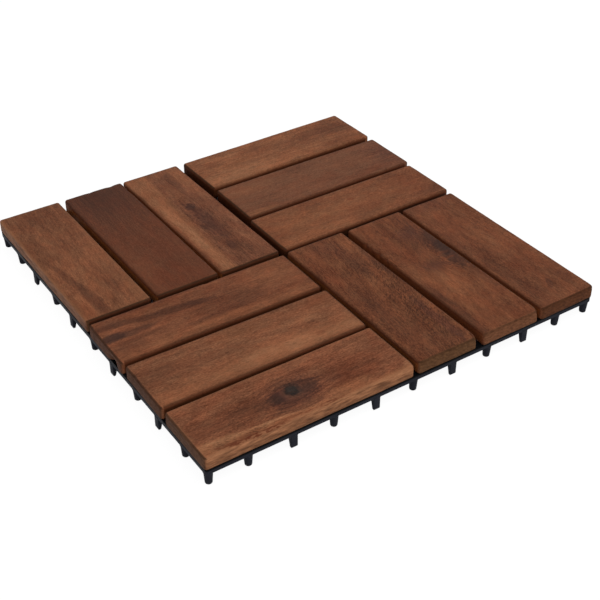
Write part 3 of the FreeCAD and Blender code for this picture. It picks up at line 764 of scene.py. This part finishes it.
def makeSlat(name, board, material, seed):
    # profile: inset and height from the underside's middle, round the lower edge, up the side,
    # round the arris and over the top to the middle line
    shape = slatShape
    random = np.random.default_rng(seed)
    halfLength, halfWidth = board["halfLength"], board["halfWidth"]
    low, high = board["bottom"], board["top"]
    bottomTurn = np.linspace(0, math.pi / 2, shape["bottomSteps"] + 1)
    arrisTurn = np.linspace(0, math.pi / 2, shape["arrisSteps"] + 1)
    b, a = shape["bottomRadius"], shape["arrisRadius"]
    deepest = halfWidth * 0.9
    inset = np.concatenate([
        np.linspace(deepest, b, 4)[:-1], b * (1 - np.sin(bottomTurn)), [0.0, 0.0],
        a * (1 - np.cos(arrisTurn)), np.linspace(a, deepest, shape["topRings"])[1:]])
    height = np.concatenate([
        np.full(3, low), low + b * (1 - np.cos(bottomTurn)),
        np.linspace(low + b, high - a, 4)[1:-1],
        high - a * (1 - np.sin(arrisTurn)), np.full(shape["topRings"] - 1, high)])
    core, out = outlineDirections(halfLength, halfWidth, shape["spacing"])
    inset = inset[:, None, None]
    radius = np.maximum(shape["cornerRadius"] - inset, 0.35)
    half = np.array([halfLength, halfWidth]) - inset - radius
    flat = core[None] * half + out[None] * radius
    level = np.broadcast_to(height[:, None], flat.shape[:2])

    # edges that aren't quite straight, and a top that isn't quite flat
    wave = smoothWave(flat, random)
    flat = flat + out[None] * (wave * shape["edgeWave"])[..., None] * (inset < 6)
    upper = (level > high - 0.3).astype(float)
    level = level - upper * (smoothWave(flat, random) * 0.5 + 1.0) * shape["topWave"]
    points = np.concatenate([flat, level[..., None]], axis=-1)
    inward = np.concatenate([-out, np.full((len(out), 1), -0.8)], axis=1)[None]
    for u, v, below, reach, depth in slatDents.get(name, []):
        away = ((points - (u, v, high + below)) ** 2).sum(axis=-1)
        push = depth * np.exp(-away / reach ** 2)
        lower = -1.0 if below < (low - high) / 2 else 1.0
        points = points + push[..., None] * inward * (1, 1, lower)

    points = spun(points, math.radians(board["turn"]), (board["x"], board["y"], 0.0))
    rows, columns = points.shape[:2]
    endSteps = int(halfWidth / shape["spacing"]) + 5
    faces = stackFaces(rows, columns, endSteps)
    piece = makePiece(name + "_wood", points, faces, material, "slat_wood", [name])
    turnAtRow = np.zeros(rows)
    start = 3 + len(bottomTurn) + 2
    turnAtRow[start:start + len(arrisTurn)] = np.sin(2 * arrisTurn) + 0.25
    addReading(piece, "arris", np.repeat(turnAtRow[:, None], columns, axis=1))
    return piece


print("slats")
boards = {name: findBoard(name) for name in woodLooks}
for seed, (name, look) in enumerate(woodLooks.items(), 1):
    makeSlat(name, boards[name], makeWood(name, boards[name], look, seed), seed)


# Black moulded plastic and zinc-plated steel

plasticLook = {
    "body": (41, 42, 49), "worn": (60, 62, 68), "dust": (70, 67, 64), "roughLow": 0.4, "roughHigh": 0.56,
    # the near-black tone and its levels are a painted shadow along the rim's top, under the wood
    "specular": 0.02, "shadowLine": (5, 5, 6), "shadowLevels": (10.9, 11.8),
    "cloud": ((24, 24, 12), 3.0, 0.6, 1.0), "fine": ((0.7, 0.7, 0.7), 2.0, 0.5, 2.0),
    "scratch": ((14, 0.4, 3), 2.0, 0.5, 3.0), "scuff": ((2, 2, 2), 3.0, 0.6, 4.0), "scratchTurn": 31,
    "bumpStrength": 0.35, "bumpDepth": 0.00008,
}


def makePlastic():
    # near-black with a faint blue cast: cloudy tone, fine mould texture, scuffs towards the feet's tips,
    # and a painted shadow along the rim's top under the wood
    material, shader, place = newMaterial("black_plastic")
    local = placed(place, size=(millimetre,) * 3)
    look = plasticLook
    cloud = noise(local, *look["cloud"])
    fine = noise(local, *look["fine"])
    scratch = noise(placed(local, turn=look["scratchTurn"]), *look["scratch"])
    worn = linear(look["worn"])
    colour = mixColour(rescale(cloud, 0.4, 0.75, 0.0, 0.22), linear(look["body"]), worn)
    colour = mixColour(rescale(scratch, 0.64, 0.76, 0.0, 0.25), colour, worn)
    height = apart(local)[2]
    low = rescale(height, 0.0, 2.2, 0.5, 0.0)
    scuff = calc("MULTIPLY", low, rescale(noise(local, *look["scuff"]), 0.42, 0.66, 0.0, 0.8))
    colour = mixColour(scuff, colour, linear(look["dust"]))
    # painted shadow: the top band of the rim darkened where it sits under the wood
    shadowLine = rescale(height, *look["shadowLevels"], 0.0, 0.9)
    colour = mixColour(shadowLine, colour, linear(look["shadowLine"]))
    rough = rescale(cloud, 0.3, 0.7, look["roughLow"], look["roughHigh"])
    relief = calc("MULTIPLY_ADD", scratch, 0.5, fine)
    setShader(shader, colour=colour, rough=rough, specular=look["specular"],
              normal=bumped(relief, look["bumpStrength"], look["bumpDepth"]))
    return material


steelLook = {
    "bright": (176, 178, 182), "dull": (132, 134, 138), "dirt": (74, 68, 60), "metal": 0.9,
    "flake": ((0.9, 0.9, 0.9), 3.0, 0.6, 1.0), "cloud": ((5, 5, 5), 2.0, 0.5, 2.0),
    "bumpStrength": 0.25, "bumpDepth": 0.00005,
}


def makeSteel():
    # zinc grey: a soft crystalline flake and clouds of dirt
    material, shader, place = newMaterial("zinc_steel")
    local = placed(place, size=(millimetre,) * 3)
    look = steelLook
    flake = noise(local, *look["flake"])
    cloud = noise(local, *look["cloud"])
    colour = mixColour(rescale(flake, 0.35, 0.65, 0.0, 1.0), linear(look["dull"]), linear(look["bright"]))
    colour = mixColour(rescale(cloud, 0.5, 0.75, 0.0, 0.5), colour, linear(look["dirt"]))
    rough = rescale(flake, 0.3, 0.7, 0.26, 0.44)
    setShader(shader, colour=colour, rough=rough, metal=look["metal"],
              normal=bumped(flake, look["bumpStrength"], look["bumpDepth"]))
    return material


# The base: lattice, feet, tabs and loops, in one piece

baseShape = {
    "halfSide": 149.3, "cornerRadius": 1.5, "rimInside": 143.3, "ribSpacing": 30.0, "ribsEachSide": 4,
    "ribHalf": 3.0, "deckLow": 9.0, "deckHigh": 12.4, "edge": 0.45,
    "footTop": 2.9, "footTip": 2.3, "tipRound": 0.9, "footSegments": 28,
    "footLevels": [2.5, 5.0, 7.6, 8.3, 8.8, 9.3], "footFlare": [0.06, 0.28, 0.3],
    "rimLine": 146.3, "inner": [-120, -60, 0, 60, 120], "sidePlaces": [-120, -60, 0, 60, 120],
    "loopPlaces": [-90, -30, 30, 90],
    "tabRoot": 4.1, "tabTip": 1.7, "tabHalfWidth": 2.35, "tabRound": 0.32,
    "tabLevels": [(0.0, 0.4), (0.12, 0.16), (0.35, 0.04), (0.8, 0.0), (3.0, 0.0), (6.0, 0.0), (8.4, 0.0),
                  (8.9, -0.12), (9.3, -0.15)],
    "loopLow": 4.5, "loopHigh": 8.0, "loopHalf": 4.6, "loopEnd": 157.35, "loopCut": 2.0,
    "loopRoot": 144.0, "loopEdge": 0.35,
    "windowNear": 150.45, "windowFar": 155.35, "windowHalf": 2.6,
}


def latticeMesh():
    # a grid of cells between rib edges: every cell that isn't a window gets a top and an underside,
    # and a wall stands on each border between a solid and an open cell
    s = baseShape
    ribs = np.arange(-s["ribsEachSide"], s["ribsEachSide"] + 1) * s["ribSpacing"]
    lines = np.sort(np.concatenate([[-s["halfSide"], -s["rimInside"], s["rimInside"], s["halfSide"]],
                                    ribs - s["ribHalf"], ribs + s["ribHalf"]]))
    n = len(lines)
    openStep = np.zeros(n - 1, bool)
    openStep[1::2] = True
    solid = ~(openStep[:, None] & openStep[None, :])
    x, y = np.meshgrid(lines, lines, indexing="ij")
    layer = np.stack([x.ravel(), y.ravel()], axis=1)
    index = np.arange(n * n).reshape(n, n)
    corner = np.stack([index[:-1, :-1], index[1:, :-1], index[1:, 1:], index[:-1, 1:]], axis=-1)
    isCorner = np.zeros_like(solid)
    isCorner[[0, 0, -1, -1], [0, -1, 0, -1]] = True
    keep = corner[solid & ~isCorner]
    upper = n * n
    faces = [keep + upper, keep[:, ::-1]]
    padded = np.pad(solid, 1)
    # walls facing -x, +x, -y and +y
    for shift, first, second in (((0, 1), 3, 0), ((2, 1), 1, 2), ((1, 0), 0, 1), ((1, 2), 2, 3)):
        beside = padded[shift[0]:shift[0] + n - 1, shift[1]:shift[1] + n - 1]
        border = corner[solid & ~beside & ~isCorner]
        faces.append(np.stack([border[:, first], border[:, second], border[:, second] + upper,
                               border[:, first] + upper], axis=-1))
    faces = np.concatenate(faces).tolist()
    low = np.column_stack([layer, np.full(n * n, s["deckLow"])])
    high = np.column_stack([layer, np.full(n * n, s["deckHigh"])])
    points = np.concatenate([low, high])

    # the four outer corners: a cell whose far corner is an arc
    arc = np.linspace(0, math.pi / 2, 7)
    r = s["cornerRadius"]
    cells = {(1, 1): (n - 2, n - 2), (-1, 1): (0, n - 2), (-1, -1): (0, 0), (1, -1): (n - 2, 0)}
    for turn, (signs, cell) in enumerate(cells.items()):
        start = math.pi / 2 * turn
        curve = np.stack([np.cos(arc + start), np.sin(arc + start)], axis=1) * r
        curve = curve + (s["halfSide"] - r) * np.array(signs)
        first = len(points)
        points = np.concatenate([points, np.column_stack([curve, np.full(len(arc), s["deckLow"])]),
                                 np.column_stack([curve, np.full(len(arc), s["deckHigh"])])])
        ring = np.roll(corner[cell], -turn)
        before, after, inside = ring[1], ring[3], ring[0]
        below = [int(inside), int(before)] + list(range(first, first + 7)) + [int(after)]
        above = [v + upper if v < 2 * upper else v + 7 for v in below]
        faces += [above, below[::-1]]
        side = below[1:]
        sideUp = above[1:]
        faces += [[side[k], side[k + 1], sideUp[k + 1], sideUp[k]] for k in range(len(side) - 1)]
    return points, faces


def footPlaces():
    s = baseShape
    rim, inner, side = s["rimLine"], s["inner"], s["sidePlaces"]
    places = [(x, y) for x in inner for y in inner]
    places += [(x * rim, y * rim) for x in (-1, 1) for y in (-1, 1)]
    places += [(p, q * rim) for p in side for q in (-1, 1)]
    places += [(q * rim, p) for p in side for q in (-1, 1)]
    places += [(rim, p) for p in s["loopPlaces"]]
    places += [(p, rim) for p in s["loopPlaces"]]
    return np.array(places, float)


def feetPoints():
    # radius over height: a small flare under the deck, a straight taper, and a domed tip
    s = baseShape
    dome = np.linspace(0, math.pi / 2, 5)
    t = s["tipRound"]
    taper = (s["footTop"] - s["footTip"]) / (s["deckLow"] - t)
    heights = np.concatenate([t * (1 - np.cos(dome)), s["footLevels"]])
    radii = s["footTip"] + np.maximum(heights - t, 0) * taper
    radii[:len(dome)] = s["footTip"] - t + t * np.sin(dome)
    radii[-3:] += s["footFlare"]
    places = np.column_stack([footPlaces(), np.zeros(len(footPlaces()))])
    return ringStack(radii, heights, s["footSegments"])[None] + places[:, None, None, :]


def roundedRing(halfX, halfY, radius, steps=5):
    # a rounded rectangle, anticlockwise from its right side, the same number of points in each corner
    core = np.array([[1, 1], [-1, 1], [-1, -1], [1, -1]])
    arc = np.linspace(0, math.pi / 2, steps)
    quarter = np.arange(4)[:, None] * math.pi / 2 + arc[None]
    x = core[:, :1] * (halfX - radius) + np.cos(quarter) * radius
    y = core[:, 1:] * (halfY - radius) + np.sin(quarter) * radius
    return x.reshape(x.shape[:-2] + (-1,)), y.reshape(y.shape[:-2] + (-1,))


def tabPoints():
    # a wedge under the rim: rounded rectangles that narrow downwards against an upright outer face,
    # one for each level and the trim it has there
    s = baseShape
    rings = []
    for z, cut in s["tabLevels"]:
        d = s["tabTip"] + (s["tabRoot"] - s["tabTip"]) * z / s["deckLow"]
        half = d / 2 - cut
        x, y = roundedRing(max(half, 0.05), s["tabHalfWidth"] - cut, min(s["tabRound"], max(half, 0.04)))
        rings.append(np.stack([x + d / 2 - s["halfSide"], y, np.full(len(x), z)], axis=-1))
    return np.stack(rings)


def loopPoints():
    # a flat eye: from a window outline out to the tongue's outline, top, edge, underside and window wall
    s = baseShape
    cx = (s["windowNear"] + s["windowFar"]) / 2
    hx = (s["windowFar"] - s["windowNear"]) / 2
    corners = [math.atan2(s["windowHalf"], hx), math.atan2(s["loopHalf"], s["loopEnd"] - s["loopCut"] - cx),
               math.atan2(s["loopHalf"] - s["loopCut"], s["loopEnd"] - cx)]
    corners += [math.pi - corners[0], math.pi - math.atan2(s["loopHalf"], cx - s["loopRoot"])]
    corners = np.array(corners + [-c for c in corners])
    angles = np.sort(np.concatenate([np.linspace(-math.pi, math.pi, 49)[:-1], corners]))
    direction = np.stack([np.cos(angles), np.sin(angles)], axis=1)

    def reach(lines):
        # the distance to a convex outline is the least of the distances to its lines
        normals = np.array([line[:2] for line in lines], float)
        offsets = np.array([line[2] for line in lines], float)
        facing = direction @ normals.T
        return np.where(facing > 1e-6, offsets / np.maximum(facing, 1e-6), 1e9).min(axis=1)

    e = s["loopEnd"] - cx
    outer = reach([(1, 0, e), (-1, 0, cx - s["loopRoot"]), (0, 1, s["loopHalf"]), (0, -1, s["loopHalf"]),
                   (1, 1, e + s["loopHalf"] - s["loopCut"]), (1, -1, e + s["loopHalf"] - s["loopCut"])])
    inner = reach([(1, 0, hx), (-1, 0, hx), (0, 1, s["windowHalf"]), (0, -1, s["windowHalf"])])
    step = s["loopEdge"]
    wall = outer - inner
    share = step / wall
    low, high = s["loopLow"], s["loopHigh"]
    zero = np.zeros_like(share)
    # the loop round the section, from the window's lower edge outwards
    shares = [share, 1 - share, zero + 1, zero + 1, 1 - share, share, zero, zero]
    levels = [low, low, low + step, high - step, high, high, high - step, low + step]
    rho = np.stack([inner + wall * f for f in shares])
    points = np.stack([cx + rho * np.cos(angles), rho * np.sin(angles),
                       np.repeat(np.array(levels)[:, None], len(angles), axis=1)], axis=-1)
    return points


def turned(points, quarter, shift):
    # a quarter turn about the upright axis, after a shift along y
    x, y, z = points[..., 0], points[..., 1] + shift, points[..., 2]
    return np.stack([x, y, z], axis=-1) if quarter == 0 else np.stack([-y, x, z], axis=-1)


def makeBase():
    parts = [latticeMesh()]
    parts += [(foot, stackFaces(*foot.shape[:2])) for foot in feetPoints()]
    tab, loop = tabPoints(), loopPoints()
    rows, columns = loop.shape[:2]
    # the last line of a loop's section closes on its first
    loopFaces = (bandFaces(rows + 1, columns) % (rows * columns)).tolist()
    # the tabs stand on the -x and -y sides, the loops on the +x and +y sides
    for place in baseShape["loopPlaces"]:
        for quarter in (0, 1):
            parts.append((turned(tab, quarter, place), stackFaces(*tab.shape[:2])))
            parts.append((turned(loop, quarter, place), loopFaces))
    return joined(parts)


print("base")
base = makePiece("base_moulding", *makeBase(), makePlastic(), "base_plastic", ["base_grid"])
soften = base.modifiers.new("softEdges", "BEVEL")
soften.width = baseShape["edge"] * millimetre
soften.segments = 2
soften.limit_method = "ANGLE"
soften.angle_limit = math.radians(50)
soften.harden_normals = True


# Screws: a pan head with a cross recess, and a tapered shank up into the wood

screwShape = {
    "headRadius": 2.8, "headLow": 7.2, "headHigh": 9.0, "dome": 0.7, "slotHalf": 0.42, "slotReach": 1.55,
    "slotDepth": 1.0, "segments": 40, "shankRoot": 1.55, "shankTip": 0.8, "shankTop": 19.3,
    "headRadii": [0.12, 0.4, 0.62, 0.85, 1.1, 1.35, 1.6, 1.9, 2.2, 2.5, 2.7, 2.8],
    "places": [(-105, -120), (-105, -90), (-105, -30), (-45, -120), (-45, -90), (-45, -30)],
}


def screwPoints():
    # height over radius and turn: a shallow dome with a cross pressed in, then rim, seat and shank
    s = screwShape
    turn = np.arange(s["segments"]) * 2 * math.pi / s["segments"]
    r, a = np.meshgrid(s["headRadii"], turn, indexing="ij")
    armTurn = (a + math.pi / 4) % (math.pi / 2) - math.pi / 4
    beside = np.abs(r * np.sin(armTurn))
    inSlot = np.clip((s["slotHalf"] + 0.14 - beside) / 0.22, 0, 1)
    inSlot = inSlot * np.clip((s["slotReach"] - r) / 0.35, 0, 1)
    height = s["headLow"] + s["dome"] * (r / s["headRadius"]) ** 2.6 + s["slotDepth"] * inSlot
    head = np.stack([r * np.cos(a), r * np.sin(a), height], axis=-1)
    seat = s["headHigh"] - 0.01
    sides = ringStack([s["headRadius"], 2.72, s["shankRoot"], s["shankRoot"], s["shankTip"], 0.35],
                      [8.75, seat, seat, 9.6, s["shankTop"] - 1.0, s["shankTop"]], s["segments"])
    return np.concatenate([head, sides])


def makeScrews():
    one = screwPoints()
    faces = stackFaces(*one.shape[:2])
    parts = []
    for x, y in screwShape["places"]:
        for quarter, (c, s) in enumerate([(1, 0), (0, 1), (-1, 0), (0, -1)]):
            spin = (x * 0.37 + y * 0.61 + quarter) % 1.6
            parts.append((spun(one, spin, (x * c - y * s, x * s + y * c, 0.0)), faces))
    return makePiece("pan_screws", *joined(parts), makeSteel(), "screw_steel", ["screws"])


print("screws")
makeScrews()


# Floor, lights and camera

studio = {
    "ambient": 0.5, "floorColour": 0.8, "floorGlow": 0.95, "floorShare": 0.1, "floorSize": 3.0,
    "floorDrop": 0.0004,
    "shadeNear": 0.138, "shadeFar": 0.16, "shadeFade": 0.004,
    "lamps": [
        {"name": "overhead", "place": (0.1, -0.7, 1.6), "aim": (0, 0, 0), "size": 1.4, "watts": 11.0},
        {"name": "rightFill", "place": (1.3, -0.3, 1.1), "aim": (0, 0, 0), "size": 1.2, "watts": 3.0},
    ],
}


def whiteForSight(tree):
    # one where the ray comes from the camera, a gloss or a glass
    path = addNode("ShaderNodeLightPath", tree=tree).outputs
    sight = calc("ADD", path["Is Camera Ray"], path["Is Glossy Ray"])
    return calc("ADD", sight, path["Is Transmission Ray"], clamp=True)


def makeFloor():
    half = studio["floorSize"]
    corners = [(x * half, y * half, -studio["floorDrop"]) for x, y in ((-1, -1), (1, -1), (1, 1), (-1, 1))]
    mesh = bpy.data.meshes.new("floor")
    mesh.from_pydata(corners, [], [(0, 1, 2, 3)])
    material = bpy.data.materials.new("pale_floor")
    tree = emptyTree(material)
    plain, faint = [addNode("ShaderNodeBsdfDiffuse", {"Color": (studio[key],) * 3 + (1.0,)}, tree)
                    for key in ("floorColour", "floorShare")]
    glow = addNode("ShaderNodeEmission", {"Strength": studio["floorGlow"]}, tree)
    seen = addNode("ShaderNodeAddShader", {0: faint.outputs[0], 1: glow.outputs[0]})
    # under the tile the floor stays plain, so it is as dark there as the tile leaves it: up to the
    # near reach on the -x and -y sides, up to the far reach on the others
    parts = apart(addNode("ShaderNodeTexCoord", tree=tree).outputs["Object"])
    nearest = calc("MULTIPLY", calc("MINIMUM", parts[0], parts[1]), -1.0)
    furthest = calc("MAXIMUM", parts[0], parts[1])
    away = calc("MAXIMUM", calc("SUBTRACT", nearest, studio["shadeNear"]),
                calc("SUBTRACT", furthest, studio["shadeFar"]))
    beyond = rescale(away, -studio["shadeFade"], 0.0, 0.0, 1.0)
    mixed = addNode("ShaderNodeMixShader", {0: calc("MULTIPLY", whiteForSight(tree), beyond),
                                                  1: plain.outputs[0], 2: seen.outputs[0]})
    addNode("ShaderNodeOutputMaterial", {"Surface": mixed.outputs[0]})
    mesh.materials.append(material)
    newObject("floor", mesh)


def makeWorld():
    world = bpy.data.worlds.new("studio")
    bpy.context.scene.world = world
    tree = emptyTree(world)
    dim, white = [addNode("ShaderNodeBackground", {"Color": (1, 1, 1, 1), "Strength": strength}, tree)
                  for strength in (studio["ambient"], 1.0)]
    mixed = addNode("ShaderNodeMixShader", {0: whiteForSight(tree), 1: dim.outputs[0],
                                                  2: white.outputs[0]})
    addNode("ShaderNodeOutputWorld", {"Surface": mixed.outputs[0]})


def makeLamps():
    for row in studio["lamps"]:
        data = bpy.data.lights.new(row["name"], "AREA")
        data.shape = "DISK"
        data.size = row["size"]
        data.energy = row["watts"]
        lamp = newObject(row["name"], data)
        lamp.location = row["place"]
        away = Vector(row["place"]) - Vector(row["aim"])
        lamp.rotation_euler = away.to_track_quat("Z", "Y").to_euler()


viewPoint = {
    "target": (-22.77, -54.32, 22.0), "azimuth": -33.79, "elevation": 35.89, "distance": 752.0,
    "lens": 68.784, "sensor": 36.0,
}


def makeCamera():
    # the camera stands back from the target along its azimuth and elevation, without roll
    azimuth, elevation = math.radians(viewPoint["azimuth"]), math.radians(viewPoint["elevation"])
    back = Vector((math.sin(azimuth) * math.cos(elevation), -math.cos(azimuth) * math.cos(elevation),
                   math.sin(elevation)))
    data = bpy.data.cameras.new("camera")
    data.lens = viewPoint["lens"]
    data.sensor_width = viewPoint["sensor"]
    data.clip_start = 0.01
    camera = newObject("camera", data)
    camera.location = (Vector(viewPoint["target"]) + back * viewPoint["distance"]) * millimetre
    camera.rotation_euler = back.to_track_quat("Z", "Y").to_euler()
    bpy.context.scene.camera = camera


print("floor, lights and camera")
makeFloor()
makeWorld()
makeLamps()
makeCamera()
bpy.context.scene.view_settings.view_transform = "Standard"
